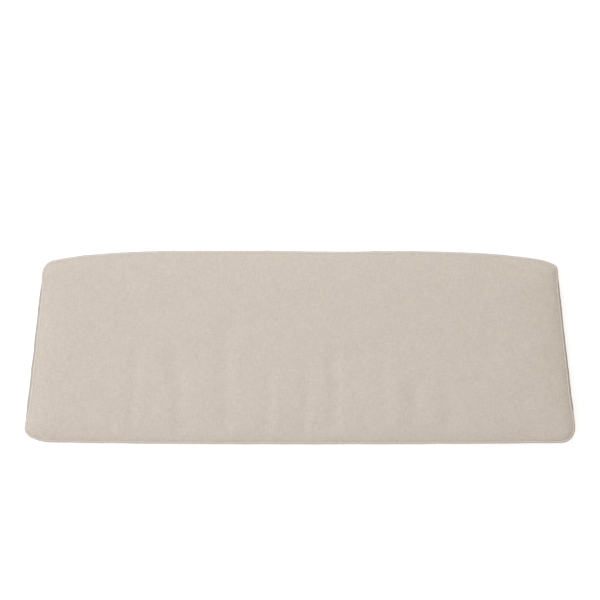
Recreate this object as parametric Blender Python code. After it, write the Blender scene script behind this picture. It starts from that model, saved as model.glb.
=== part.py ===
"""A long seat cushion for a bench: a filled fabric pad with a boxed edge, and one piping in its upper seam.

Metres, +Z up. The origin is on the surface that the cushion lies on, under the middle of its box.
The front is the long edge at -Y, and the back, at +Y, is shorter, with ends that curve forward.

The plan is drawn as the outermost line seen from above. Every section across the edge hangs from that line:
underside, lower seam, boxing, the groove that holds the piping, and the crowned top.
"""

import math

import bmesh
import bpy
from mathutils import Vector

# Plan: the outermost line of the cushion.
DEPTH = 0.4214
FRONT_HALF_WIDTH = 0.6043  # where a side's line meets the front edge's
BACK_HALF_WIDTH = 0.5566  # where a side's line meets the back edge's
FRONT_BOW = {"left": 0.0035, "right": 0.0021}  # how far the front edge bows out over FRONT_BOW_REACH
FRONT_BOW_REACH = 0.500
BACK_STRAIGHT = {"left": 0.127, "right": 0.050}  # the back edge is straight this far each side of the middle
BACK_END_DROP = 0.0246  # and then curves forward, by this much at its ends
BACK_END_POWER = 3.9
BACK_DIP = 0.0018  # the back edge is pulled in a little, right of the middle
BACK_DIP_AT = 0.079
BACK_DIP_WIDTH = 0.105

# Corners: how far each one's rounding reaches along the side and along the front or back edge.
CORNERS = {
    "front_right": {"along_side": 0.040, "along_end": 0.036},
    "back_right": {"along_side": 0.014, "along_end": 0.042},
    "back_left": {"along_side": 0.021, "along_end": 0.021},
    "front_left": {"along_side": 0.030, "along_end": 0.063},
}
CORNER_FULLNESS = 0.72  # the conic's weight: 0.707 is a circle's quarter

# How far the boxing swells past the piping. At the front, the back and the corners it is drawn in behind it.
BOXING_SWELL = {"front": -0.0010, "right": 0.0025, "back": -0.0010, "left": 0.0045}
CORNER_SWELL = -0.0010
SWELL_EASE = 0.050  # the stretch beside a corner over which the boxing comes out
BOXING_ROUNDNESS = 0.6  # the power of the sine that the boxing's section follows: lower is fuller
BOXING_SAG = 0.6  # below 1, the boxing is widest below its middle

# Section across the edge.
PIPING_RADIUS = 0.0035
PIPING_HEIGHT = 0.035  # of the cord's centre above the underside
GAP = 0.0003  # between the piping and the pad
GROOVE_FROM = math.radians(-70)  # the boxing's upper edge, seen from the cord's centre, 0 outwards
GROOVE_TO = math.radians(-246)  # the top panel's edge
LOWER_SEAM_HEIGHT = 0.005
LOWER_SEAM_INSET = 0.0055  # from the piping's outermost line
UNDERSIDE_EASE = 0.020  # the underside leaves the floor this far inside the lower seam
EDGE_RISE = 0.0045  # the top panel's steep rise beside the piping
EDGE_RISE_LENGTH = 0.010
CROWN = 0.0030  # and its slow rise to the middle
SPINE_HALF_LENGTH = 0.370  # of the ridge line along the middle of the crown

# How finely the solids are divided.
STATION_SPACING = 0.030
CORNER_STATIONS = 8
BOXING_STEPS = 6
GROOVE_STEPS = 7
UNDERSIDE_STEPS = 3
EDGE_RING_DISTANCES = (0.003, 0.007, 0.013, 0.022, 0.036)  # of the top's outer rings, from the groove
CROWN_RING_SHARES = (0.40, 0.65, 0.90)  # of its inner rings, as shares of the way to the spine
LARGEST_STRETCH = 1.6  # of a ring's distance where the way to the spine runs aslant
PIPING_BEVEL_RESOLUTION = 2
MEETING_PASSES = 8  # of finding where two edges meet
TANGENT_STEP = 0.001  # as a share of an edge

# Finishes, from the photograph, in linear colour.
COVER_COLOUR = (0.610, 0.546, 0.474, 1.0)
PIPING_COLOUR = (0.640, 0.576, 0.504, 1.0)
CLOTH_ROUGHNESS = 0.9


def smooth_step(share):
    share = min(max(share, 0.0), 1.0)
    return share * share * (3 - 2 * share)


def side_of(x):
    return "left" if x < 0 else "right"


def front_edge(x):
    return Vector((x, -DEPTH / 2 + FRONT_BOW[side_of(x)] * (x / FRONT_BOW_REACH) ** 2))


def back_edge(x):
    straight = BACK_STRAIGHT[side_of(x)]
    past = max(abs(x) - straight, 0.0) / (BACK_HALF_WIDTH - straight)
    dip = BACK_DIP * math.exp(-(((x - BACK_DIP_AT) / BACK_DIP_WIDTH) ** 2))
    return Vector((x, DEPTH / 2 - BACK_END_DROP * past**BACK_END_POWER - dip))


def edge_corner(edge, side, half_width):
    """Where the front or back edge meets the right (+1) or left (-1) side's line."""
    corner = edge(side * half_width)
    for _ in range(MEETING_PASSES):
        share = (corner.y + DEPTH / 2) / DEPTH
        width = FRONT_HALF_WIDTH + share * (BACK_HALF_WIDTH - FRONT_HALF_WIDTH)
        corner = edge(side * width)
    return corner


def edges():
    """The four edges, counter-clockwise from the front, each as a function of 0..1 with its length."""
    corners = {
        "front_left": edge_corner(front_edge, -1, FRONT_HALF_WIDTH),
        "front_right": edge_corner(front_edge, 1, FRONT_HALF_WIDTH),
        "back_right": edge_corner(back_edge, 1, BACK_HALF_WIDTH),
        "back_left": edge_corner(back_edge, -1, BACK_HALF_WIDTH),
    }

    def curved(edge, start, end):
        return lambda share: edge(start.x + share * (end.x - start.x))

    def straight(start, end):
        return lambda share: start.lerp(end, share)

    rows = (
        ("front", "front_left", "front_right", front_edge),
        ("right", "front_right", "back_right", None),
        ("back", "back_right", "back_left", back_edge),
        ("left", "back_left", "front_left", None),
    )
    made = []
    for name, first, last, edge in rows:
        start, end = corners[first], corners[last]
        line = curved(edge, start, end) if edge else straight(start, end)
        length = (end - start).length
        made.append({"name": name, "first": first, "last": last, "line": line, "length": length})
    return made


def reach(corner, edge_name):
    return CORNERS[corner]["along_end" if edge_name in ("front", "back") else "along_side"]


def direction(line, share):
    return (line(share + TANGENT_STEP) - line(share - TANGENT_STEP)).normalized()


def meeting_point(point, along, other, other_along):
    """Where two lines in the plan cross."""
    between = other - point
    turn = along.cross(other_along)
    return point + along * (between.cross(other_along) / turn)


def rounded_corner(start, control, end, count):
    """Points on the conic from start to end, without those two."""
    points = []
    for step in range(1, count):
        t = step / count
        weights = ((1 - t) ** 2, 2 * CORNER_FULLNESS * t * (1 - t), t**2)
        points.append((weights[0] * start + weights[1] * control + weights[2] * end) / sum(weights))
    return points


def stations():
    """Points round the outermost line, each with how far the boxing swells past the piping there."""
    found = []
    sides = edges()
    for index, edge in enumerate(sides):
        line, length = edge["line"], edge["length"]
        first = reach(edge["first"], edge["name"]) / length
        last = 1 - reach(edge["last"], edge["name"]) / length
        count = round(length * (last - first) / STATION_SPACING)
        for step in range(count + 1):
            share = first + (last - first) * step / count
            beside_corner = min(share - first, last - share) * length
            eased = smooth_step(beside_corner / SWELL_EASE)
            swell = CORNER_SWELL + eased * (BOXING_SWELL[edge["name"]] - CORNER_SWELL)
            found.append((line(share), swell))
        following = sides[(index + 1) % len(sides)]
        onward = reach(following["first"], following["name"]) / following["length"]
        start, end = line(last), following["line"](onward)
        control = meeting_point(
            start, direction(line, last), end, direction(following["line"], onward)
        )
        found += [(point, CORNER_SWELL) for point in rounded_corner(start, control, end, CORNER_STATIONS)]
    return found


def with_normals(found):
    """Each station as a dictionary, with its outward normal."""
    made = []
    for index, (point, swell) in enumerate(found):
        before, after = found[index - 1][0], found[(index + 1) % len(found)][0]
        along = (after - before).normalized()
        made.append({"point": point, "outward": Vector((along.y, -along.x)), "swell": swell})
    return made


def cord_inset(station):
    """How far inside the outermost line the piping's centre runs."""
    return PIPING_RADIUS + max(station["swell"], 0.0)


def underside_and_boxing(station):
    """(distance from the piping's centre outwards, height) from the underside to the groove."""
    seam = PIPING_RADIUS - LOWER_SEAM_INSET
    points = []
    for step in range(UNDERSIDE_STEPS):
        share = step / UNDERSIDE_STEPS
        points.append((seam - UNDERSIDE_EASE * (1 - share), LOWER_SEAM_HEIGHT * share**2))
    radius = PIPING_RADIUS + GAP
    upper = (radius * math.cos(GROOVE_FROM), PIPING_HEIGHT + radius * math.sin(GROOVE_FROM))
    widest = PIPING_RADIUS + station["swell"]
    for step in range(BOXING_STEPS):
        share = step / BOXING_STEPS
        straight = seam + share * (upper[0] - seam)
        bulge = math.sin(math.pi * share**BOXING_SAG) ** BOXING_ROUNDNESS
        height = LOWER_SEAM_HEIGHT + share * (upper[1] - LOWER_SEAM_HEIGHT)
        points.append((straight + (widest - straight) * bulge, height))
    return points


def groove():
    """(distance, height) round the inner side of the piping."""
    radius = PIPING_RADIUS + GAP
    points = []
    for step in range(GROOVE_STEPS + 1):
        angle = GROOVE_FROM + (GROOVE_TO - GROOVE_FROM) * step / GROOVE_STEPS
        points.append((radius * math.cos(angle), PIPING_HEIGHT + radius * math.sin(angle)))
    return points


def place(station, distance, height):
    """A point of the section, in space."""
    plan = station["point"] + station["outward"] * (distance - cord_inset(station))
    return Vector((plan.x, plan.y, height))


def top_height(start_height, distance, share):
    steep = EDGE_RISE * (1 - math.exp(-distance / EDGE_RISE_LENGTH))
    slow = CROWN * (1 - (1 - share) ** 2)
    return start_height + steep + slow


def top_points(station, start):
    """The top panel's points from the groove towards the spine."""
    spine = Vector((min(max(start.x, -SPINE_HALF_LENGTH), SPINE_HALF_LENGTH), 0.0))
    way = spine - start.xy
    length = way.length
    squareness = -way.normalized().dot(station["outward"])
    stretch = min(1 / squareness, LARGEST_STRETCH)
    rows = [(distance, distance * stretch / length) for distance in EDGE_RING_DISTANCES]
    rows += [(share * length / stretch, share) for share in CROWN_RING_SHARES]
    points = []
    for distance, share in rows:
        plan = start.xy + way * share
        points.append(Vector((plan.x, plan.y, top_height(start.z, distance, share))))
    return points


def section(station):
    """The whole section at one station, from the flat underside up to the crown."""
    outer = [place(station, *point) for point in underside_and_boxing(station) + groove()]
    return outer + top_points(station, outer[-1])


def pad_mesh(around):
    """The pad's skin: its sections joined all the way round, closed by the flat underside and the crown."""
    mesh = bmesh.new()
    columns = [[mesh.verts.new(point) for point in section(station)] for station in around]
    for index, column in enumerate(columns):
        following = columns[(index + 1) % len(columns)]
        for low in range(len(column) - 1):
            mesh.faces.new((column[low], following[low], following[low + 1], column[low + 1]))
    mesh.faces.new([column[-1] for column in columns])
    mesh.faces.new([column[0] for column in reversed(columns)])
    data = bpy.data.meshes.new("cushion")
    mesh.to_mesh(data)
    mesh.free()
    data.shade_smooth()
    return data


def piping_curve(around):
    """The piping: a closed round cord along the upper seam."""
    curve = bpy.data.curves.new("piping", "CURVE")
    curve.dimensions = "3D"
    curve.twist_mode = "Z_UP"
    curve.bevel_depth = PIPING_RADIUS
    curve.bevel_resolution = PIPING_BEVEL_RESOLUTION
    spline = curve.splines.new("POLY")
    spline.points.add(len(around) - 1)
    for point, station in zip(spline.points, around):
        point.co = (*place(station, 0.0, PIPING_HEIGHT), 1.0)
    spline.use_cyclic_u = True
    return curve


def material(name, colour):
    made = bpy.data.materials.new(name)
    made.use_nodes = True
    shader = made.node_tree.nodes["Principled BSDF"]
    shader.inputs["Base Color"].default_value = colour
    shader.inputs["Roughness"].default_value = CLOTH_ROUGHNESS
    shader.inputs["Metallic"].default_value = 0.0
    return made


def add(name, data, finish, collection):
    made = bpy.data.objects.new(name, data)
    data.materials.append(finish)
    collection.objects.link(made)
    return made


def main():
    for old in list(bpy.data.objects):
        bpy.data.objects.remove(old)
    collection = bpy.data.collections.new("bench_cushion")
    bpy.context.scene.collection.children.link(collection)
    around = with_normals(stations())
    add("cushion", pad_mesh(around), material("cover_cloth", COVER_COLOUR), collection)
    add("piping", piping_curve(around), material("piping_cloth", PIPING_COLOUR), collection)


main()
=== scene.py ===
"""The looks of a long bench cushion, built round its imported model.

Metres, +Z up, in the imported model's frame: the front is the long edge at -Y, and the piped face is up.
The pad and the piping are fine meshes on the outline of the solids that they stand for, with nearly the same
section.
"""

import math

import bpy
import numpy as np
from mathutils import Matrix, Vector


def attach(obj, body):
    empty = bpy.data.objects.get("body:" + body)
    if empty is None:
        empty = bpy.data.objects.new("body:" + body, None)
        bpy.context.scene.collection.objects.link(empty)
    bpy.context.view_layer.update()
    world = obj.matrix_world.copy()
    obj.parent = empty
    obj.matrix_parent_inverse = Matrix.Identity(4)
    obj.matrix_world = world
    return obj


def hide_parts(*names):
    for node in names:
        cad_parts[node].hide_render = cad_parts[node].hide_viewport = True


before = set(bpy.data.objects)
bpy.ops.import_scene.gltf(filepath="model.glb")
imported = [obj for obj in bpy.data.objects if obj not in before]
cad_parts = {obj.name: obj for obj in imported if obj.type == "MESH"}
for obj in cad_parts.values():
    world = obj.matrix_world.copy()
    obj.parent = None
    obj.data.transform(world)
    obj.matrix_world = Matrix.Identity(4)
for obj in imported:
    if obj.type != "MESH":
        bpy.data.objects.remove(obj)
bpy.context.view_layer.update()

# Plan: the outermost line of the cushion, as in the solids. The back edge is straight in the middle, with a
# slight dip, and curves forward towards its ends.
DEPTH = 0.4214
FRONT_HALF_WIDTH = 0.6043  # where a side's line meets the front edge's
BACK_HALF_WIDTH = 0.5566  # where a side's line meets the back edge's
FRONT_BOW = {"left": 0.0035, "right": 0.0021}  # how far the front edge bows out over FRONT_BOW_REACH
FRONT_BOW_REACH = 0.500
BACK_STRAIGHT = {"left": 0.127, "right": 0.050}  # how far the back edge is straight, each side of the middle
BACK_END_DROP = 0.0246  # how far forward its ends are
BACK_END_POWER = 3.9  # the higher, the later the curve sets in
BACK_DIP = 0.0018
BACK_DIP_AT = 0.079
BACK_DIP_WIDTH = 0.105
MEETING_PASSES = 8  # of finding where two edges meet
TANGENT_STEP = 1e-4  # the share of an edge over which its direction is taken

# Corners: how far each one's rounding reaches along the side and along the front or back edge.
CORNERS = {
    "front_right": {"along_side": 0.040, "along_end": 0.036},
    "back_right": {"along_side": 0.014, "along_end": 0.042},
    "back_left": {"along_side": 0.021, "along_end": 0.021},
    "front_left": {"along_side": 0.030, "along_end": 0.063},
}
CORNER_FULLNESS = 0.72  # the conic's weight: 0.707 is a circle's quarter

# How far the boxing swells past the piping. At the front, the back and the corners it is drawn in behind it.
BOXING_SWELL = {"front": -0.0010, "right": 0.0025, "back": -0.0010, "left": 0.0045}
CORNER_SWELL = -0.0010
SWELL_EASE = 0.050  # the stretch beside a corner over which the boxing comes out
BOXING_ROUNDNESS = 0.6  # the power of the sine that the boxing's section follows: lower is fuller
BOXING_SAG = 0.6  # below 1, the boxing is widest below its middle

# Section across the edge: the solids' own, with less room round the piping and a deeper lower seam.
PIPING_RADIUS = 0.0035
PIPING_HEIGHT = 0.035  # of the cord's centre above the underside
PIPING_GAP = 0.00015  # between the piping and the pad
GROOVE_FROM = math.radians(-70)  # the boxing's upper edge, seen from the cord's centre, 0 outwards
GROOVE_TO = math.radians(-246)  # the top panel's edge
LOWER_SEAM_HEIGHT = 0.005
LOWER_SEAM_INSET = 0.0055  # from the piping's outermost line
LOWER_SEAM_DEPTH = 0.0012  # how far the lower seam is pulled in
UNDERSIDE_EASE = 0.020  # the underside leaves the floor this far inside the lower seam

# Top panel: it rolls up out of the seam, and then rises slowly to the middle.
LIP_RISE = 0.0002
LIP_LENGTH = 0.0015
ROLL_RISE = 0.0030
ROLL_LENGTH = 0.0090
CROWN = 0.0028
CROWN_REACH = 0.190

# Soft troughs that run from front to back, most of them over the front half of the top. A trough is at its x
# at FRONT_OF_TROUGHS, and runs off to the right by its lean for each metre towards the back. One with a
# depth below 0 is a ridge.
TROUGHS = (
    {"x": -0.410, "lean": 0.00, "front": -0.207, "back": -0.120, "width": 0.010, "depth": 0.0009},
    {"x": -0.364, "lean": 0.02, "front": -0.200, "back": 0.015, "width": 0.012, "depth": 0.0009},
    {"x": -0.250, "lean": -0.15, "front": -0.205, "back": 0.010, "width": 0.020, "depth": 0.0018},
    {"x": -0.163, "lean": 0.02, "front": -0.208, "back": 0.060, "width": 0.021, "depth": 0.0018},
    {"x": -0.076, "lean": 0.05, "front": -0.205, "back": -0.050, "width": 0.014, "depth": 0.0010},
    {"x": -0.052, "lean": 0.03, "front": -0.208, "back": -0.080, "width": 0.010, "depth": -0.0005},
    {"x": 0.010, "lean": 0.02, "front": -0.205, "back": -0.020, "width": 0.014, "depth": 0.0011},
    {"x": 0.074, "lean": 0.00, "front": -0.205, "back": 0.010, "width": 0.017, "depth": 0.0015},
    {"x": 0.205, "lean": 0.05, "front": -0.205, "back": -0.040, "width": 0.018, "depth": -0.0010},
    {"x": 0.250, "lean": 0.05, "front": -0.200, "back": -0.060, "width": 0.014, "depth": 0.0009},
    {"x": 0.320, "lean": 0.00, "front": -0.200, "back": -0.030, "width": 0.018, "depth": 0.0012},
    {"x": -0.373, "lean": 0.00, "front": 0.065, "back": 0.135, "width": 0.014, "depth": 0.0008},
)
FRONT_OF_TROUGHS = -0.200
TROUGH_EASE = 0.040  # over which a trough fades out at its ends
TROUGH_WANDER = 0.003  # how far it strays from its line
TROUGH_WANDER_LENGTH = 0.030

# Puckers across the seams, where the stitching takes the cloth up.
PUCKER_SPACING = (0.016, 0.044)
PUCKER_WIDTH = (0.0035, 0.0080)
PUCKER_DEPTH = (0.00015, 0.00060)
PUCKER_REACH = (0.007, 0.022)
PUCKER_START = 0.0015  # over which a pucker sets in, away from the seam
PUCKER_FALL = 1.5  # the power with which it fades out at its reach
PUCKER_LEAN = 0.30  # how far aslant it runs at most: radians on the top, and a slope on the boxing
BOXING_PUCKER_SHARE = 0.9  # of its depth on the top

# Slow unevenness of the stuffed cloth: how much it moves and over what lengths.
TOP_WAVES = {"height": 0.00022, "shortest": 0.050, "longest": 0.160, "count": 28}
BOXING_WAVES = {"height": 0.00018, "shortest": 0.035, "longest": 0.140, "count": 24}
SEAM_WAVES = {"height": 0.00018, "shortest": 0.060, "longest": 0.250, "count": 16}
CORD_WAVES = {"height": 0.00008, "shortest": 0.008, "longest": 0.040, "count": 40}
WAVES_FROM_SEAM = 0.010  # over which the top's unevenness sets in
SEED = 11

# The cloth simulation that settles the stuffed cover. A point on a seam has a hold of 1, and doesn't move.
SETTLING_FRAMES = 20
SETTLING_PRESSURE = 6.0
SETTLING_TENSION = 15.0
SETTLING_SHEAR = 5.0
SETTLING_BENDING = 10.0
SETTLING_HOLD = {"top": 0.18, "boxing": 0.10}
BOXING_EASE = -0.006  # the share by which the boxing's cloth is shorter than its space: here it is longer
SETTLING_CAP = 0.0022  # how far a point may move
SETTLING_SMOOTHING = 3  # times that the movement is averaged

# How finely the meshes are divided.
CORNER_HALF_STEPS = 24
RUN_STEP = 0.001  # of a side, before it is divided anew
FINEST_STEP = 0.0012  # at the corners
COARSEST_STEP = 0.0036
STEP_GROWTH = 0.12  # for each metre away from a corner
GRADING_SAMPLES = 2000  # of a side, for how many steps it takes
UNDERSIDE_STEPS = 6
BOXING_STEPS = 14
BOXING_RINGS = slice(UNDERSIDE_STEPS, UNDERSIDE_STEPS + BOXING_STEPS)  # the lower seam's ring is the first
GROOVE_STEPS = 8
PIPING_SIDES = 24
SEAM_SAMPLES = 2400  # for the distance to the seam
CHUNK = 2000  # points whose distance to the seam is worked out at a time
TINY_SQUARE = 1e-12  # keeps a squared distance above 0

# The cloth: a plain weave of slubby yarns. Lengths are in metres, and tones are shares of the colour.
COVER_COLOUR = (0.616, 0.545, 0.478)
# The piping's colour is lighter than the cover's, as a painted highlight on the cord.
PIPING_COLOUR_WITH_PAINTED_HIGHLIGHT = (0.668, 0.596, 0.525)
YARN_PITCH = 0.00105
YARN_WAVE = 0.50  # how far a yarn rises and dips over and under the others
YARN_ROUNDNESS = 0.60  # how far its edges lie below its middle
YARN_RELIEF = 0.00007  # the height that 1 stands for
SLUB_LENGTH = 0.014
SLUB_TONE = 0.050
SLUB_HEIGHT = 0.06
YARN_APART = 7.31  # keeps the slubs of neighbouring yarns unlike each other
FIBRE_PITCH = 0.00012
FIBRE_LENGTH = 0.0011
FIBRE_TONE = 0.020
GAP_PAINTED_SHADE = 0.80  # painted shade of the cloth at the bottom of the gaps between yarns
GAP_HEIGHTS = (-0.10, 0.45)  # between which that shade fades out
BOXING_PAINTED_SHADE = 0.85  # painted shade: how bright the boxing's cloth is made, as a share of the top's
DRIFTS = ((0.060, 0.00060), (0.009, 0.00010))  # how the yarns wander: over what length, and how far
MOTTLES = (  # patches of tone: how far they reach along U and V, and how strong they are
    {"u": 0.0021, "v": 0.0130, "strength": 0.011},
    {"u": 0.0130, "v": 0.0021, "strength": 0.011},
    {"u": 0.0700, "v": 0.0700, "strength": 0.003},
)
NOISE_SPREAD = 0.12  # of Blender's noise about its middle
ROUGHNESS = 0.72
ROUGHNESS_RANGE = 0.06  # how much smoother a yarn is at height 1
SHEEN = 0.08
SHEEN_ROUGHNESS = 0.5
SPECULAR = 0.20
WRINKLE_LENGTHS = (0.0035, 0.0140)  # of the fine wrinkles on the piping: along U and along V
WRINKLE_DEPTH = 0.00035

# The lamps. Their power is in watts, and all of them shine on the middle of the cushion.
LAMPS = (
    {"name": "back", "place": (0.0, 5.0, 3.2), "size": 2.5, "power": 170, "colour": (1.0, 1.0, 1.0)},
    {"name": "front_left", "place": (-2.8, -2.8, 4.0), "size": 2.0, "power": 71, "colour": (1.0, 1.0, 1.0)},
    {"name": "left", "place": (-7.5, 0.7, 4.5), "size": 3.0, "power": 370, "colour": (0.98, 1.0, 1.05)},
    {"name": "right", "place": (5.0, 0.0, 3.2), "size": 2.5, "power": 46, "colour": (1.0, 0.96, 0.72)},
    {"name": "front", "place": (0.0, -4.0, 4.0), "size": 2.5, "power": 34, "colour": (1.0, 1.0, 1.0)},
    {"name": "over", "place": (-0.15, 0.1, 1.2), "size": 0.8, "power": 1.6, "colour": (1.0, 1.0, 1.0)},
)
SKY_COLOUR = (1.0, 1.0, 1.0)
SKY = 0.24
SKY_BELOW = 0.52  # light that the surroundings throw back up
SKY_BLEND = 0.15  # how far above and below the horizon the one turns into the other

# The camera, which looks straight down.
CAMERA_HEIGHT = 10.0
CAMERA_Y = 0.1035  # the cushion lies below the middle of the picture
CAMERA_CLIP = (0.1, 100.0)
SENSOR = 0.036
VIEW_WIDTH = 1.3093  # what the picture spans at the height of the outline
OUTLINE_HEIGHT = 0.018
MILLIMETRES = 1000  # in a metre

# The floor and the backdrop. The floor's glow grows over its reach, from near the cushion to far from it.
BACKDROP_RADIUS = 28.0
BACKDROP_RINGS = 24
FLOOR_SIDES = 64
FLOOR_COLOUR = 0.60
FLOOR_GLOW = 0.62
FLOOR_GLOW_FAR = 1.0
FLOOR_GLOW_REACH = (0.8, 3.0)
STAGE_ROUGHNESS = 0.9


def smooth_step(share):
    share = np.clip(share, 0.0, 1.0)
    return share * share * (3 - 2 * share)


# ---------------------------------------------------------------- plan


def front_edge(x):
    bow = np.where(x < 0, FRONT_BOW["left"], FRONT_BOW["right"])
    return np.stack([x, -DEPTH / 2 + bow * (x / FRONT_BOW_REACH) ** 2], -1)


def back_edge(x):
    straight = np.where(x < 0, BACK_STRAIGHT["left"], BACK_STRAIGHT["right"])
    past = np.maximum(np.abs(x) - straight, 0.0) / (BACK_HALF_WIDTH - straight)
    dip = BACK_DIP * np.exp(-(((x - BACK_DIP_AT) / BACK_DIP_WIDTH) ** 2))
    return np.stack([x, DEPTH / 2 - BACK_END_DROP * past**BACK_END_POWER - dip], -1)


def edge_corner(edge, side, half_width):
    """Where the front or back edge meets the right (+1) or left (-1) side's line."""
    corner = edge(np.float64(side * half_width))
    for _ in range(MEETING_PASSES):
        share = (corner[1] + DEPTH / 2) / DEPTH
        width = FRONT_HALF_WIDTH + share * (BACK_HALF_WIDTH - FRONT_HALF_WIDTH)
        corner = edge(np.float64(side * width))
    return corner


def edges():
    """The four edges, counter-clockwise from the front, each as a function of 0..1 with its length."""
    corners = {
        "front_left": edge_corner(front_edge, -1, FRONT_HALF_WIDTH),
        "front_right": edge_corner(front_edge, 1, FRONT_HALF_WIDTH),
        "back_right": edge_corner(back_edge, 1, BACK_HALF_WIDTH),
        "back_left": edge_corner(back_edge, -1, BACK_HALF_WIDTH),
    }

    def line(start, end, edge):
        if edge is None:
            return lambda share: start + np.multiply.outer(share, end - start)
        return lambda share: edge(start[0] + share * (end[0] - start[0]))

    rows = (
        ("front", "front_left", "front_right", front_edge),
        ("right", "front_right", "back_right", None),
        ("back", "back_right", "back_left", back_edge),
        ("left", "back_left", "front_left", None),
    )
    made = []
    for name, first, last, edge in rows:
        start, end = corners[first], corners[last]
        length = np.linalg.norm(end - start)
        end_name = "along_end" if edge else "along_side"
        made.append({
            "name": name,
            "line": line(start, end, edge),
            "length": length,
            "from": CORNERS[first][end_name] / length,
            "to": 1 - CORNERS[last][end_name] / length,
        })
    return made


def rounded_corner(edge, following):
    """Points on the conic from the end of one edge to the start of the next, ends included."""
    start, end = edge["line"](edge["to"]), following["line"](following["from"])
    along = start - edge["line"](edge["to"] - TANGENT_STEP)
    onward = following["line"](following["from"] + TANGENT_STEP) - end
    between = end - start
    turn = along[0] * onward[1] - along[1] * onward[0]
    control = start + along * (between[0] * onward[1] - between[1] * onward[0]) / turn
    t = np.linspace(0, 1, 2 * CORNER_HALF_STEPS + 1)[:, None]
    weights = (1 - t) ** 2, 2 * CORNER_FULLNESS * t * (1 - t), t**2
    return (weights[0] * start + weights[1] * control + weights[2] * end) / sum(weights)


def dense_sides():
    """Each side as a dense row of (x, y, swell), from the middle of one corner to the middle of the next."""
    sides = edges()
    corners = [rounded_corner(edge, sides[(k + 1) % 4]) for k, edge in enumerate(sides)]
    made = []
    for k, edge in enumerate(sides):
        run = (edge["to"] - edge["from"]) * edge["length"]
        share = np.linspace(edge["from"], edge["to"], round(run / RUN_STEP) + 1)
        beside = np.minimum(share - edge["from"], edge["to"] - share) * edge["length"]
        swell = CORNER_SWELL + smooth_step(beside / SWELL_EASE) * (BOXING_SWELL[edge["name"]] - CORNER_SWELL)
        middle = np.column_stack([edge["line"](share), swell])
        before, after = corners[k - 1][CORNER_HALF_STEPS:-1], corners[k][1 : CORNER_HALF_STEPS + 1]
        rows = [np.column_stack([arc, np.full(len(arc), CORNER_SWELL)]) for arc in (before, after)]
        made.append(np.vstack([rows[0], middle, rows[1]]))
    return made


def arc_lengths(points):
    return np.concatenate([[0.0], np.cumsum(np.linalg.norm(np.diff(points[:, :2], axis=0), axis=1))])


def graded_shares(length):
    """Shares 0..1 of a side, closer together at its ends, for an even number of steps."""
    place = np.linspace(0, length, GRADING_SAMPLES)
    step = np.minimum(FINEST_STEP + STEP_GROWTH * np.minimum(place, length - place), COARSEST_STEP)
    density = 1 / step
    count = np.concatenate([[0.0], np.cumsum((density[1:] + density[:-1]) / 2 * np.diff(place))])
    steps = 2 * round(count[-1] / 2)
    return np.interp(np.linspace(0, count[-1], steps + 1), count, place) / length


def resampled(points, shares):
    along = arc_lengths(points)
    return np.column_stack([np.interp(shares * along[-1], along, column) for column in points.T])


def stations():
    """The loop of stations, counter-clockwise from the middle of the front left corner."""
    front, right, back, left = dense_sides()
    across = graded_shares((arc_lengths(front)[-1] + arc_lengths(back)[-1]) / 2)
    along = graded_shares((arc_lengths(left)[-1] + arc_lengths(right)[-1]) / 2)
    divided = (front, across), (right, along), (back, across), (left, along)
    loop = np.vstack([resampled(side, shares)[:-1] for side, shares in divided])
    plan = loop[:, :2]
    tangent = np.roll(plan, -1, axis=0) - np.roll(plan, 1, axis=0)
    tangent /= np.linalg.norm(tangent, axis=1)[:, None]
    outward = np.column_stack([tangent[:, 1], -tangent[:, 0]])
    arc = arc_lengths(np.vstack([loop, loop[:1]]))
    random = np.random.default_rng(SEED)
    return {
        "plan": plan + outward * closed_waves(SEAM_WAVES, arc[:-1], arc[-1], random)[:, None],
        "swell": loop[:, 2],
        "outward": outward,
        "arc": arc,
        "across": across,
        "along": along,
    }


# ---------------------------------------------------------------- unevenness


def closed_waves(waves, arc, length, random):
    """A slow unevenness along a line that closes on itself after the given length."""
    fewest, most = round(length / waves["longest"]), round(length / waves["shortest"])
    cycles = random.integers(fewest, most, waves["count"])
    phases = random.uniform(0, 2 * math.pi, waves["count"])
    total = np.cos(2 * math.pi * np.multiply.outer(arc / length, cycles) + phases).sum(-1)
    return waves["height"] * total / math.sqrt(waves["count"] / 2)


def plane_waves(waves, points, random):
    """A slow unevenness over the plane."""
    total = np.zeros(len(points))
    for _ in range(waves["count"]):
        length = random.uniform(waves["shortest"], waves["longest"])
        heading, phase = random.uniform(0, 2 * math.pi, 2)
        across = points @ np.array([math.cos(heading), math.sin(heading)])
        total += np.cos(2 * math.pi * across / length + phase)
    return waves["height"] * total / math.sqrt(waves["count"] / 2)


def seam_puckers(length, random):
    """Where a seam takes the cloth up: most puckers are shallow, and a few are deep."""
    puckers = []
    place = random.uniform(*PUCKER_SPACING)
    while place < length:
        strength = random.uniform() ** 2
        puckers.append({
            "place": place,
            "width": random.uniform(*PUCKER_WIDTH),
            "depth": np.interp(strength, (0, 1), PUCKER_DEPTH),
            "reach": random.uniform(*PUCKER_REACH),
            "lean": random.uniform(-PUCKER_LEAN, PUCKER_LEAN),
        })
        place += random.uniform(*PUCKER_SPACING)
    return puckers


def pucker_fade(into, reach):
    """How deep a pucker is at a distance into the cloth from its seam, where the stitches hold the cloth."""
    into = np.maximum(into, 0.0)
    return (1 - np.exp(-into / PUCKER_START)) * np.exp(-((into / reach) ** PUCKER_FALL))


def puckers_on_top(points, rim, around, puckers):
    sunk = np.zeros(len(points))
    loop = np.vstack([np.column_stack([rim, around["outward"]]), np.append(rim[0], around["outward"][0])])
    for pucker in puckers:
        x, y, out_x, out_y = (np.interp(pucker["place"], around["arc"], column) for column in loop.T)
        heading = math.atan2(-out_y, -out_x) + pucker["lean"]
        offset = points - np.array([x, y])
        into = offset @ np.array([math.cos(heading), math.sin(heading)])
        beside = offset @ np.array([-math.sin(heading), math.cos(heading)])
        bell = np.exp(-((beside / pucker["width"]) ** 2)) * (into > 0)
        sunk += pucker["depth"] * bell * pucker_fade(into, pucker["reach"])
    return sunk


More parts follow.
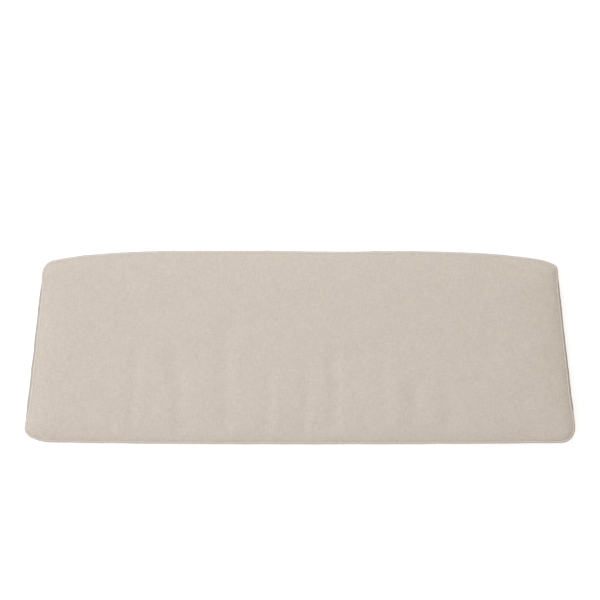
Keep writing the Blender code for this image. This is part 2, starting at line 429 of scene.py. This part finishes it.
def puckers_on_boxing(arc, away, length, puckers):
    """How far each station is drawn in, at a distance down or up the boxing from the seam."""
    sunk = np.zeros(len(arc))
    for pucker in puckers:
        beside = (arc - pucker["place"] - pucker["lean"] * away + length / 2) % length - length / 2
        bell = np.exp(-((beside / pucker["width"]) ** 2))
        sunk += BOXING_PUCKER_SHARE * pucker["depth"] * bell * pucker_fade(away, pucker["reach"])
    return sunk


def troughs_on_top(points, random):
    sunk = np.zeros(len(points))
    x, y = points.T
    for trough in TROUGHS:
        wander = TROUGH_WANDER * np.sin(y / TROUGH_WANDER_LENGTH + random.uniform(0, 2 * math.pi))
        middle = trough["x"] + trough["lean"] * (y - FRONT_OF_TROUGHS) + wander
        bell = np.exp(-(((x - middle) / trough["width"]) ** 2))
        from_front, from_back = (y - trough["front"]) / TROUGH_EASE, (trough["back"] - y) / TROUGH_EASE
        sunk += trough["depth"] * bell * (smooth_step(from_front) * smooth_step(from_back))
    return sunk


# ---------------------------------------------------------------- section


def section_rings(around):
    """Rings from the underside to the top panel's edge. A ring has each station's distance outwards from the
    piping's centre, and its height."""
    count = len(around["plan"])
    seam = PIPING_RADIUS - LOWER_SEAM_INSET
    widest = PIPING_RADIUS + around["swell"]
    rings = []
    for share in np.arange(UNDERSIDE_STEPS) / UNDERSIDE_STEPS:
        rings.append((np.full(count, seam - UNDERSIDE_EASE * (1 - share)), LOWER_SEAM_HEIGHT * share**2))
    radius = PIPING_RADIUS + PIPING_GAP
    upper = (radius * math.cos(GROOVE_FROM), PIPING_HEIGHT + radius * math.sin(GROOVE_FROM))
    for share in np.arange(BOXING_STEPS) / BOXING_STEPS:
        straight = seam + share * (upper[0] - seam) - LOWER_SEAM_DEPTH * (share == 0)
        bulge = math.sin(math.pi * share**BOXING_SAG) ** BOXING_ROUNDNESS
        height = LOWER_SEAM_HEIGHT + share * (upper[1] - LOWER_SEAM_HEIGHT)
        rings.append((straight + (widest - straight) * bulge, height))
    for share in np.arange(GROOVE_STEPS + 1) / GROOVE_STEPS:
        angle = GROOVE_FROM + (GROOVE_TO - GROOVE_FROM) * share
        rings.append((np.full(count, radius * math.cos(angle)), PIPING_HEIGHT + radius * math.sin(angle)))
    return [np.column_stack([distance, np.full(count, height)]) for distance, height in rings]


def placed(around, distance, height):
    """Where a point of the section is in space, at every station."""
    inset = PIPING_RADIUS + np.maximum(around["swell"], 0.0)
    plan = around["plan"] + around["outward"] * (distance - inset)[:, None]
    return np.column_stack([plan, height])


# ---------------------------------------------------------------- top panel


def coons_patch(around, rim):
    """The plan of the top panel's grid, stretched between the four sides of its rim."""
    u, v = around["across"], around["along"]
    i, j = len(u) - 1, len(v) - 1
    front, right = rim[: i + 1], rim[i : i + j + 1]
    back = rim[i + j : 2 * i + j + 1][::-1]
    left = np.vstack([rim[2 * i + j :], rim[:1]])[::-1]
    u, v = u[:, None, None], v[None, :, None]
    at_front = (1 - u) * (1 - v) * rim[0] + u * (1 - v) * rim[i]
    flat = at_front + u * v * rim[i + j] + (1 - u) * v * rim[2 * i + j]
    return (1 - v) * front[:, None] + v * back[:, None] + (1 - u) * left[None] + u * right[None] - flat


def seam_distance(points, rim):
    """A smooth distance to the seam, from the sum of 1 / distance ** 6 along it. Beside a long straight seam
    it is the distance itself."""
    closed = np.vstack([rim, rim[:1]])
    along = arc_lengths(closed)
    at = np.arange(SEAM_SAMPLES) / SEAM_SAMPLES * along[-1]
    samples = np.column_stack([np.interp(at, along, column) for column in closed.T])
    spacing = along[-1] / SEAM_SAMPLES
    straight_sum = 3 * math.pi / 8
    distance = np.empty(len(points))
    for start in range(0, len(points), CHUNK):
        part = points[start : start + CHUNK]
        squared = ((part[:, None] - samples[None]) ** 2).sum(-1) + TINY_SQUARE
        summed = (1 / squared**3).sum(1) * spacing
        distance[start : start + CHUNK] = (summed / straight_sum) ** (-1 / 5)
    return distance


def top_rise(distance):
    """How far the top panel is above its edge, at a distance from it."""
    lip = LIP_RISE * (1 - np.exp(-distance / LIP_LENGTH))
    roll = ROLL_RISE * (1 - np.exp(-distance / ROLL_LENGTH))
    crown = CROWN * (1 - (1 - np.clip(distance / CROWN_REACH, 0, 1)) ** 2)
    return lip + roll + crown


# ---------------------------------------------------------------- pad


def grid_indices(i, j, stations_count, rim_start, inner_start):
    """The vertex index of each point of the top grid, whose border is the last ring of stations."""
    grid = np.empty((i + 1, j + 1), int)
    grid[1:i, 1:j] = inner_start + np.arange((i - 1) * (j - 1)).reshape(i - 1, j - 1)
    loop = rim_start + np.arange(stations_count)
    grid[:, 0] = loop[: i + 1]
    grid[i, :] = loop[i : i + j + 1]
    grid[:, j] = loop[i + j : 2 * i + j + 1][::-1]
    grid[0, :] = np.append(loop[2 * i + j :], loop[0])[::-1]
    return grid


def pad_geometry(around):
    """The pad's points before its seams pucker, ring by ring and then those inside the top's rim. The grid
    holds the indices of the top's points."""
    rings = np.array([placed(around, ring[:, 0], ring[:, 1]) for ring in section_rings(around)])
    rim = rings[-1]
    i, j = len(around["across"]) - 1, len(around["along"]) - 1
    patch = coons_patch(around, rim[:, :2])
    inner = patch[1:i, 1:j].reshape(-1, 2)
    distance = seam_distance(inner, rim[:, :2])
    height = rim[0, 2] + top_rise(distance)
    count = len(rim)
    return {
        "points": np.vstack([rings.reshape(-1, 3), np.column_stack([inner, height])]),
        "rings": len(rings),
        "count": count,
        "grid": grid_indices(i, j, count, (len(rings) - 1) * count, len(rings) * count),
        "distance": distance,
    }


def pucker(pad, around):
    """Moves the pad's points where its seams pucker, in its troughs, and where its stuffing is uneven."""
    random = np.random.default_rng(SEED)
    arc, length = around["arc"][:-1], around["arc"][-1]
    upper, lower = seam_puckers(length, random), seam_puckers(length, random)
    swelling = closed_waves(BOXING_WAVES, arc, length, random)
    points, count = pad["points"], pad["count"]
    low, high = LOWER_SEAM_HEIGHT, points[BOXING_RINGS.stop * count, 2]
    for ring in range(BOXING_RINGS.start, BOXING_RINGS.stop):
        share = (ring - BOXING_RINGS.start) / BOXING_STEPS
        move = swelling * math.sin(math.pi * share)
        move -= puckers_on_boxing(arc, (1 - share) * (high - low), length, upper)
        move -= puckers_on_boxing(arc, share * (high - low), length, lower)
        points[ring * count : (ring + 1) * count, :2] += around["outward"] * move[:, None]
    first_inner = pad["rings"] * count
    rim, inner = points[first_inner - count : first_inner, :2], points[first_inner:, :2]
    fade = 1 - np.exp(-pad["distance"] / WAVES_FROM_SEAM)
    uneven = plane_waves(TOP_WAVES, inner, random) - troughs_on_top(inner, random)
    points[first_inner:, 2] += fade * uneven - puckers_on_top(inner, rim, around, upper)


def pad_faces(pad):
    count, rings, grid = pad["count"], pad["rings"], pad["grid"]
    k = np.arange(count)
    following = (k + 1) % count
    band = np.column_stack([k, following, following + count, k + count])
    sides = [band + ring * count for ring in range(rings - 1)]
    top = np.stack([grid[:-1, :-1], grid[1:, :-1], grid[1:, 1:], grid[:-1, 1:]], -1).reshape(-1, 4)
    return np.vstack(sides), top


def cloth_map(pad, around, sides, top):
    """UV in metres, for every corner of every face. On the top and the underside it is the plan, and on the
    boxing the way round and the way up."""
    points, count = pad["points"], pad["count"]
    ring_of = sides // count
    station_of = sides % count
    wraps = (station_of == 0) & (station_of.max(1) == count - 1)[:, None]
    arc = around["arc"][station_of] + np.where(wraps, around["arc"][-1], 0.0)
    profile = points[: pad["rings"] * count].reshape(pad["rings"], count, 3)
    steps = np.linalg.norm(np.diff(profile, axis=0), axis=2).mean(1)
    girth = np.concatenate([[0.0], np.cumsum(steps)])
    side_uv = np.stack([arc, girth[ring_of]], -1)
    under = (ring_of < UNDERSIDE_STEPS + 1).all(1)
    side_uv[under] = points[sides[under]][..., :2]
    top_uv = points[top][..., :2]
    under_uv = points[np.arange(count)[::-1]][:, :2]
    return np.vstack([side_uv.reshape(-1, 2), top_uv.reshape(-1, 2), under_uv])


def mesh_object(name, points, faces, uv):
    data = bpy.data.meshes.new(name)
    data.from_pydata(points.tolist(), [], faces)
    layer = data.uv_layers.new(name="cloth")
    layer.data.foreach_set("uv", uv.astype(np.float32).ravel())
    data.shade_smooth()
    made = bpy.data.objects.new(name, data)
    bpy.context.scene.collection.objects.link(made)
    return made


# ---------------------------------------------------------------- settling


def split_quads(corners):
    """Two triangles for each cell of a grid of indices, with the diagonals turned every other cell."""
    a, b, c, d = corners[:-1, :-1], corners[1:, :-1], corners[1:, 1:], corners[:-1, 1:]
    turned = np.indices(a.shape).sum(0) % 2 == 1
    first = np.where(turned[..., None], np.stack([a, b, d], -1), np.stack([a, b, c], -1))
    second = np.where(turned[..., None], np.stack([b, c, d], -1), np.stack([a, c, d], -1))
    return np.concatenate([first, second]).reshape(-1, 3)


def smoothed(values, axis, closed):
    """Each value, averaged with its neighbours along an axis. The ends of an open row stay."""
    spread = (np.roll(values, 1, axis) + 2 * values + np.roll(values, -1, axis)) / 4
    if not closed:
        for end in (0, -1):
            held = [slice(None)] * values.ndim
            held[axis] = end
            spread[tuple(held)] = values[tuple(held)]
    return spread


def doubled(values, axis, closed):
    """The values with new ones midway between them along an axis, smoothly."""
    between = (values + np.roll(values, -1, axis)) / 2
    pairs = np.stack([values, between], axis + 1)
    shape = list(values.shape)
    shape[axis] *= 2
    pairs = pairs.reshape(shape)
    if not closed:
        pairs = np.delete(pairs, -1, axis)
    return smoothed(pairs, axis, closed)


def cloth_settled(points, triangles, holds, snug):
    """Where the points are after a cloth simulation under the stuffing's pressure."""
    mesh = bpy.data.meshes.new("settling")
    mesh.from_pydata(points.tolist(), [], triangles.tolist())
    piece = bpy.data.objects.new("settling", mesh)
    scene = bpy.context.scene
    scene.collection.objects.link(piece)
    for name, weights in (("held", holds), ("snug", snug)):
        group = piece.vertex_groups.new(name=name)
        for weight in np.unique(weights):
            group.add(np.flatnonzero(weights == weight).tolist(), float(weight), "REPLACE")
    cloth = piece.modifiers.new("settling", "CLOTH")
    settings = cloth.settings
    settings.tension_stiffness = settings.compression_stiffness = SETTLING_TENSION
    settings.shear_stiffness = SETTLING_SHEAR
    settings.bending_stiffness = SETTLING_BENDING
    settings.vertex_group_mass = "held"
    settings.vertex_group_shrink = "snug"
    settings.shrink_min = BOXING_EASE
    settings.shrink_max = 0.0
    settings.use_pressure = True
    settings.uniform_pressure_force = SETTLING_PRESSURE
    settings.effector_weights.gravity = 0.0
    cloth.collision_settings.use_collision = False
    cloth.point_cache.frame_start = 1
    cloth.point_cache.frame_end = SETTLING_FRAMES
    for frame_number in range(1, SETTLING_FRAMES + 1):
        scene.frame_set(frame_number)
    evaluated = piece.evaluated_get(bpy.context.evaluated_depsgraph_get())
    moved = np.empty((len(points), 3), np.float32)
    evaluated.data.vertices.foreach_get("co", moved.ravel())
    bpy.data.objects.remove(piece)
    bpy.data.meshes.remove(mesh)
    scene.frame_set(1)
    return moved


def settle(pad):
    """Lets the stuffed cover settle. A cloth simulation moves every second point of the boxing and the top,
    and the movement is limited, smoothed and shared out over all the points."""
    points, count = pad["points"], pad["count"]
    rings = np.arange(BOXING_RINGS.start, BOXING_RINGS.stop + 1, 2)
    boxing = rings[:, None] * count + np.arange(0, count, 2)[None]
    top = pad["grid"][::2, ::2]
    used, local = np.unique(np.concatenate([boxing.ravel(), top.ravel()]), return_inverse=True)
    boxing_local = local[: boxing.size].reshape(boxing.shape)
    top_local = local[boxing.size :].reshape(top.shape)
    closed_boxing = np.hstack([boxing_local, boxing_local[:, :1]])
    holds = np.full(len(used), SETTLING_HOLD["top"])
    holds[boxing_local.ravel()] = SETTLING_HOLD["boxing"]
    snug = np.ones(len(used))
    snug[boxing_local.ravel()] = 0.0
    seams = *boxing_local[[0, -1]], *top_local[[0, -1]], *top_local.T[[0, -1]]
    holds[np.concatenate(seams)] = 1.0
    triangles = np.vstack([split_quads(closed_boxing.T), split_quads(top_local)])
    move = cloth_settled(points[used], triangles, holds, snug) - points[used]
    size = np.linalg.norm(move, axis=1)[:, None]
    move *= SETTLING_CAP / np.maximum(size, SETTLING_CAP)
    boxing_move, top_move = move[boxing_local], move[top_local]
    for _ in range(SETTLING_SMOOTHING):
        boxing_move = smoothed(boxing_move, 1, True)
        top_move = smoothed(smoothed(top_move, 0, False), 1, False)
    boxing_move = doubled(doubled(boxing_move, 0, False), 1, True)
    top_move = doubled(doubled(top_move, 0, False), 1, False)
    for index, ring in enumerate(range(BOXING_RINGS.start, BOXING_RINGS.stop + 1)):
        points[ring * count : (ring + 1) * count] += boxing_move[index]
    points[pad["grid"]] += top_move


def make_pad(around, finish):
    pad = pad_geometry(around)
    settle(pad)
    pucker(pad, around)
    sides, top = pad_faces(pad)
    underside = np.arange(pad["count"])[::-1]
    faces = sides.tolist() + top.tolist() + [underside.tolist()]
    made = mesh_object("pad", pad["points"], faces, cloth_map(pad, around, sides, top))
    # The boxing's points are marked for the painted shade that darkens its cloth.
    boxing_painted_shade_mask = np.zeros(len(pad["points"]))
    boxing_painted_shade_mask[BOXING_RINGS.start * pad["count"] : (BOXING_RINGS.stop + 1) * pad["count"]] = 1.0
    made.data.attributes.new("boxing", "FLOAT", "POINT").data.foreach_set("value", boxing_painted_shade_mask)
    made.data.materials.append(finish)
    return made


# ---------------------------------------------------------------- piping


def make_piping(around, finish):
    """A closed round cord along the upper seam. Its cloth is cut on the bias, so its UV map is turned by
    half a right angle."""
    count = len(around["plan"])
    angle = np.arange(PIPING_SIDES) / PIPING_SIDES * 2 * math.pi
    centre = placed(around, np.zeros(count), np.full(count, PIPING_HEIGHT))
    outward = np.column_stack([around["outward"], np.zeros(count)])
    up = np.array([0.0, 0.0, 1.0])
    round_it = np.cos(angle)[None, :, None] * outward[:, None] + np.sin(angle)[None, :, None] * up
    random = np.random.default_rng(SEED)
    radius = PIPING_RADIUS + closed_waves(CORD_WAVES, around["arc"][:-1], around["arc"][-1], random)
    points = (centre[:, None] + radius[:, None, None] * round_it).reshape(-1, 3)
    k, side = np.meshgrid(np.arange(count), np.arange(PIPING_SIDES), indexing="ij")
    k, side = k.ravel(), side.ravel()
    after, turned = (k + 1) % count, (side + 1) % PIPING_SIDES
    quads = np.column_stack([
        k * PIPING_SIDES + side, after * PIPING_SIDES + side,
        after * PIPING_SIDES + turned, k * PIPING_SIDES + turned,
    ])
    arc = around["arc"]
    girth = 2 * math.pi * PIPING_RADIUS / PIPING_SIDES
    way_round = np.column_stack([arc[k], arc[k + 1], arc[k + 1], arc[k]])
    way_across = np.column_stack([side, side, side + 1, side + 1]) * girth
    uv = np.stack([way_round + way_across, way_round - way_across], -1) / math.sqrt(2)
    made = mesh_object("piping_cord", points, quads.tolist(), uv.reshape(-1, 2))
    made.data.materials.append(finish)
    return made


# ---------------------------------------------------------------- cloth


class Nodes:
    """Adds nodes to a tree. What goes into a socket is a number, a tuple or another node's output."""

    def __init__(self, tree):
        self.tree = tree

    def add(self, kind, inputs, output=0, **settings):
        node = self.tree.nodes.new("ShaderNode" + kind)
        for name, value in settings.items():
            setattr(node, name, value)
        for socket, value in inputs.items():
            self.set(node.inputs[socket], value)
        return node.outputs[output]

    def set(self, socket, value):
        if isinstance(value, bpy.types.NodeSocket):
            self.tree.links.new(value, socket)
        else:
            socket.default_value = value

    def math(self, operation, *values):
        return self.add("Math", dict(enumerate(values)), operation=operation)

    def scaled(self, vector, scale):
        return self.add("VectorMath", {0: vector, "Scale": scale}, operation="SCALE")

    def split(self, vector):
        parts = self.add("SeparateXYZ", {0: vector})
        return parts, parts.node.outputs[1]

    def joined(self, x, y, z=0.0):
        return self.add("CombineXYZ", {0: x, 1: y, 2: z})

    def varied(self, vector, amount):
        """Noise in patches about 1 long, centred on 0 and spread by about the given amount."""
        noise = self.add("TexNoise", {"Vector": vector, "Scale": 1.0, "Detail": 1.0})
        gain = amount / NOISE_SPREAD
        return self.math("MULTIPLY_ADD", noise, gain, -gain / 2)

    def stretched(self, vector, along_u, along_v, amount):
        """Noise like that of varied, in patches that are about along_u by along_v."""
        u, v = self.split(vector)
        place = self.joined(self.math("DIVIDE", u, along_u), self.math("DIVIDE", v, along_v))
        return self.varied(place, amount)

    def drifted(self, vector, length, amount):
        """The vector, moved by about the amount, in patches of about the given length."""
        noise = self.add("TexNoise", {"Vector": vector, "Scale": 1 / length}, output="Color")
        centred = self.add("VectorMath", {0: noise, 1: (0.5, 0.5, 0.5)}, operation="SUBTRACT")
        move = self.scaled(centred, amount / NOISE_SPREAD)
        return self.add("VectorMath", {0: move, 1: vector}, operation="ADD")


def yarn(nodes, along, across, index, crossing, side):
    """The height and tone of one set of yarns. Its side, +1 or -1, sets it against the other set."""
    wave = nodes.math("SINE", nodes.math("MULTIPLY", nodes.math("ADD", along, index), math.pi))
    edge = nodes.math("MULTIPLY_ADD", across, 2.0, -1.0)
    roundness = nodes.math("MULTIPLY", nodes.math("MULTIPLY", edge, edge), -YARN_ROUNDNESS)
    slub_place = nodes.joined(nodes.math("MULTIPLY", index, YARN_APART),
                              nodes.math("MULTIPLY", along, YARN_PITCH / SLUB_LENGTH), side)
    slub = nodes.varied(slub_place, 1.0)
    fibre_place = nodes.joined(nodes.math("MULTIPLY", crossing, YARN_PITCH / FIBRE_PITCH),
                               nodes.math("MULTIPLY", along, YARN_PITCH / FIBRE_LENGTH), side)
    fibre = nodes.varied(fibre_place, 1.0)
    height = nodes.math("MULTIPLY_ADD", wave, side * YARN_WAVE, roundness)
    height = nodes.math("MULTIPLY_ADD", slub, SLUB_HEIGHT, height)
    slub_tone = nodes.math("MULTIPLY", slub, SLUB_TONE)
    fibre_tone = nodes.math("MULTIPLY", fibre, FIBRE_TONE)
    return height, nodes.math("ADD", slub_tone, fibre_tone)


def plain_weave(nodes, place):
    """The height and tone of a plain weave, in which the yarns along V and along U cross over and under."""
    u, v = nodes.split(nodes.scaled(place, 1 / YARN_PITCH))
    warp, weft = nodes.math("FLOOR", u), nodes.math("FLOOR", v)
    across_warp, across_weft = nodes.math("FRACT", u), nodes.math("FRACT", v)
    warp_height, warp_tone = yarn(nodes, v, across_warp, warp, u, 1.0)
    weft_height, weft_tone = yarn(nodes, u, across_weft, weft, v, -1.0)
    height = nodes.math("MAXIMUM", warp_height, weft_height)
    on_top = nodes.math("GREATER_THAN", warp_height, weft_height)
    tone = nodes.add("Mix", {0: on_top, 2: weft_tone, 3: warp_tone})
    return height, tone


def woven_cloth(name, colour, wrinkled=False):
    made = bpy.data.materials.new(name)
    made.use_nodes = True
    shader = made.node_tree.nodes["Principled BSDF"]
    nodes = Nodes(made.node_tree)
    place = nodes.add("UVMap", {}, uv_map="cloth")
    wandering = place
    for length, amount in DRIFTS:
        wandering = nodes.drifted(wandering, length, amount)
    height, tone = plain_weave(nodes, wandering)
    for row in MOTTLES:
        tone = nodes.math("ADD", tone, nodes.stretched(place, row["u"], row["v"], row["strength"]))
    # Painted shade in the gaps between the yarns, where the weave is low.
    gap_painted_shade = nodes.add("MapRange", {
        "Value": height, "From Min": GAP_HEIGHTS[0], "From Max": GAP_HEIGHTS[1],
        "To Min": GAP_PAINTED_SHADE, "To Max": 1.0,
    }, interpolation_type="SMOOTHSTEP")
    shade = nodes.math("MULTIPLY", nodes.math("ADD", tone, 1.0), gap_painted_shade)
    # Painted shade on the boxing: its colour is darkened against the top's.
    boxing = nodes.add("Attribute", {}, output="Fac", attribute_name="boxing")
    shade = nodes.math("MULTIPLY", shade, nodes.math("MULTIPLY_ADD", boxing, BOXING_PAINTED_SHADE - 1, 1.0))
    nodes.set(shader.inputs["Base Color"], nodes.scaled(colour, shade))
    nodes.set(shader.inputs["Roughness"], nodes.math("MULTIPLY_ADD", height, -ROUGHNESS_RANGE, ROUGHNESS))
    normal = nodes.add("Bump", {"Height": height, "Distance": YARN_RELIEF})
    if wrinkled:
        wrinkles = nodes.stretched(place, *WRINKLE_LENGTHS, NOISE_SPREAD)
        normal = nodes.add("Bump", {"Height": wrinkles, "Distance": WRINKLE_DEPTH, "Normal": normal})
    nodes.set(shader.inputs["Normal"], normal)
    shader.inputs["Specular IOR Level"].default_value = SPECULAR
    shader.inputs["Sheen Weight"].default_value = SHEEN
    shader.inputs["Sheen Roughness"].default_value = SHEEN_ROUGHNESS
    return made


# ---------------------------------------------------------------- floor, light and camera


def glowing(name, colour, glow):
    """A matt grey that also shines white by itself, so that it stays pale in the shade."""
    made = bpy.data.materials.new(name)
    made.use_nodes = True
    shader = made.node_tree.nodes["Principled BSDF"]
    shader.inputs["Base Color"].default_value = (colour, colour, colour, 1.0)
    shader.inputs["Roughness"].default_value = STAGE_ROUGHNESS
    shader.inputs["Specular IOR Level"].default_value = 0.0
    shader.inputs["Emission Color"].default_value = (1.0, 1.0, 1.0, 1.0)
    shader.inputs["Emission Strength"].default_value = glow
    return made


def make_floor():
    bpy.ops.mesh.primitive_circle_add(vertices=FLOOR_SIDES, radius=BACKDROP_RADIUS, fill_type="NGON")
    floor = bpy.context.object
    floor.name = "floor"
    floor.data.materials.append(glowing("floor", FLOOR_COLOUR, FLOOR_GLOW))
    nodes = Nodes(floor.data.materials[0].node_tree)
    here = nodes.add("TexCoord", {}, output="Object")
    away = nodes.add("VectorMath", {0: here}, output="Value", operation="LENGTH")
    glow = nodes.add("MapRange", {
        "Value": away, "From Min": FLOOR_GLOW_REACH[0], "From Max": FLOOR_GLOW_REACH[1],
        "To Min": FLOOR_GLOW, "To Max": FLOOR_GLOW_FAR,
    })
    nodes.set(nodes.tree.nodes["Principled BSDF"].inputs["Emission Strength"], glow)
    bpy.ops.mesh.primitive_uv_sphere_add(
        segments=2 * BACKDROP_RINGS, ring_count=BACKDROP_RINGS, radius=BACKDROP_RADIUS,
    )
    backdrop = bpy.context.object
    backdrop.name = "backdrop"
    backdrop.data.materials.append(glowing("backdrop", 0.0, 1.0))
    for staged in (floor, backdrop):
        staged.visible_diffuse = False
        staged.visible_glossy = False
        staged.visible_shadow = False


def make_sky():
    world = bpy.data.worlds.new("studio")
    world.use_nodes = True
    background = world.node_tree.nodes["Background"]
    background.inputs["Color"].default_value = (*SKY_COLOUR, 1.0)
    nodes = Nodes(world.node_tree)
    heading = nodes.add("TexCoord", {}, output="Generated")
    up = nodes.add("SeparateXYZ", {0: heading}, output=2)
    strength = nodes.add("MapRange", {
        "Value": up, "From Min": -SKY_BLEND, "From Max": SKY_BLEND, "To Min": SKY_BELOW, "To Max": SKY,
    })
    nodes.set(background.inputs["Strength"], strength)
    bpy.context.scene.world = world


def make_lamps():
    for row in LAMPS:
        data = bpy.data.lights.new(row["name"], "AREA")
        data.shape = "SQUARE"
        data.size = row["size"]
        data.energy = row["power"]
        data.color = row["colour"]
        lamp = bpy.data.objects.new(row["name"], data)
        lamp.location = row["place"]
        lamp.rotation_euler = (-Vector(row["place"])).to_track_quat("-Z", "Y").to_euler()
        lamp.visible_camera = False
        bpy.context.scene.collection.objects.link(lamp)


def make_camera():
    data = bpy.data.cameras.new("camera")
    data.sensor_width = SENSOR * MILLIMETRES
    data.lens = SENSOR * MILLIMETRES * (CAMERA_HEIGHT - OUTLINE_HEIGHT) / VIEW_WIDTH
    data.clip_start, data.clip_end = CAMERA_CLIP
    made = bpy.data.objects.new("camera", data)
    made.location = (0.0, CAMERA_Y, CAMERA_HEIGHT)
    bpy.context.scene.collection.objects.link(made)
    bpy.context.scene.camera = made


def main():
    scene = bpy.context.scene
    scene.view_settings.view_transform = "Standard"
    make_camera()
    make_sky()
    make_lamps()
    make_floor()
    around = stations()
    pad = make_pad(around, woven_cloth("cover_cloth", COVER_COLOUR))
    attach(pad, "root")
    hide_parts("cushion")
    piping = make_piping(around, woven_cloth("piping_cloth", PIPING_COLOUR_WITH_PAINTED_HIGHLIGHT, wrinkled=True))
    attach(piping, "root")
    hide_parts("piping")


main()
